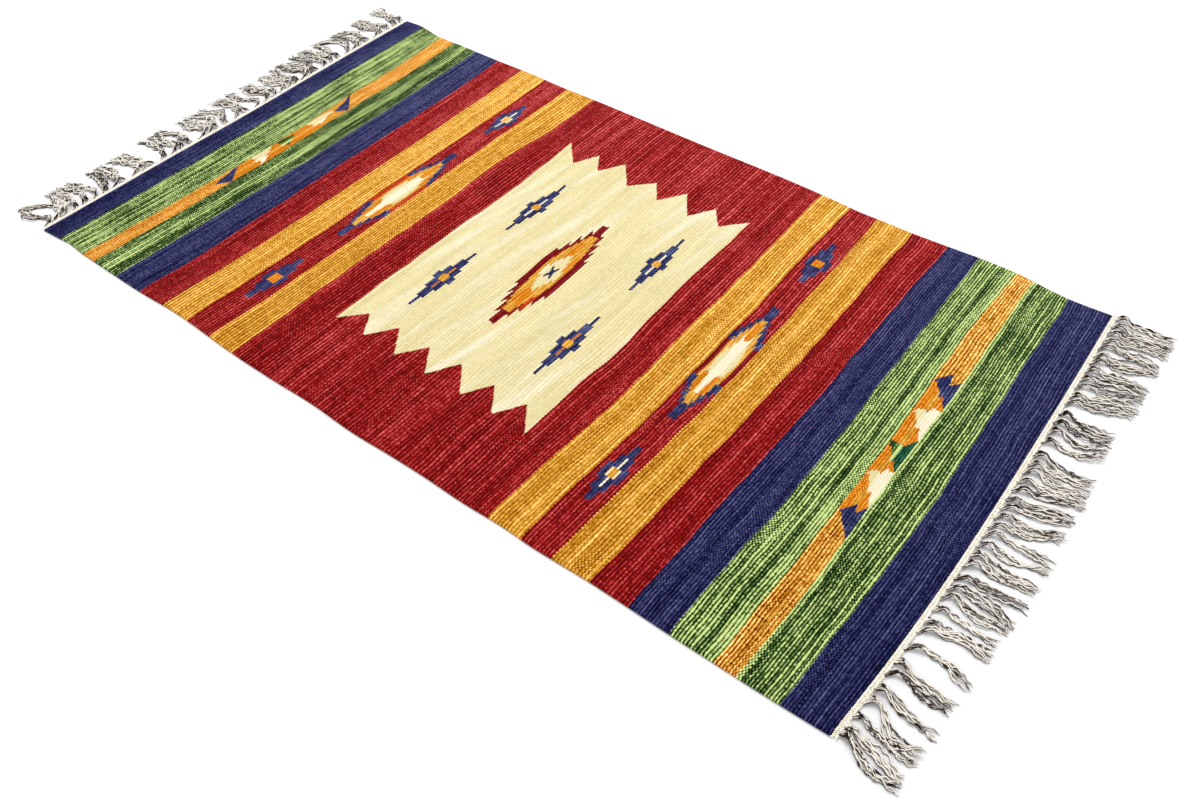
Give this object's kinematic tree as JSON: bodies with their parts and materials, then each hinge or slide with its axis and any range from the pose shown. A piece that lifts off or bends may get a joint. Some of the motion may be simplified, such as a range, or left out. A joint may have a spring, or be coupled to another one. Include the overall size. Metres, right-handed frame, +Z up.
{
  "type": "kilim rug",
  "caption": "Flat-woven oblong cotton rug with cross stripes, a toothed centre panel, stepped diamonds and a loose warp fringe at both ends.",
  "frame": {"origin": "middle of the rug's bounding box, on the floor", "axes": "+X along the rug towards the near fringe, +Y across it, +Z up from the floor"},
  "size_m": [1.8018, 0.9476, 0.0046],
  "materials": {
    "field_cotton": "matte, weft-faced flat weave",
    "warp_cotton": "matte plied cotton yarn"
  },
  "bodies": {
    "root": {"woven_field": "field_cotton", "fringe_near": "warp_cotton", "fringe_far": "warp_cotton"}
  },
  "joints": []
}
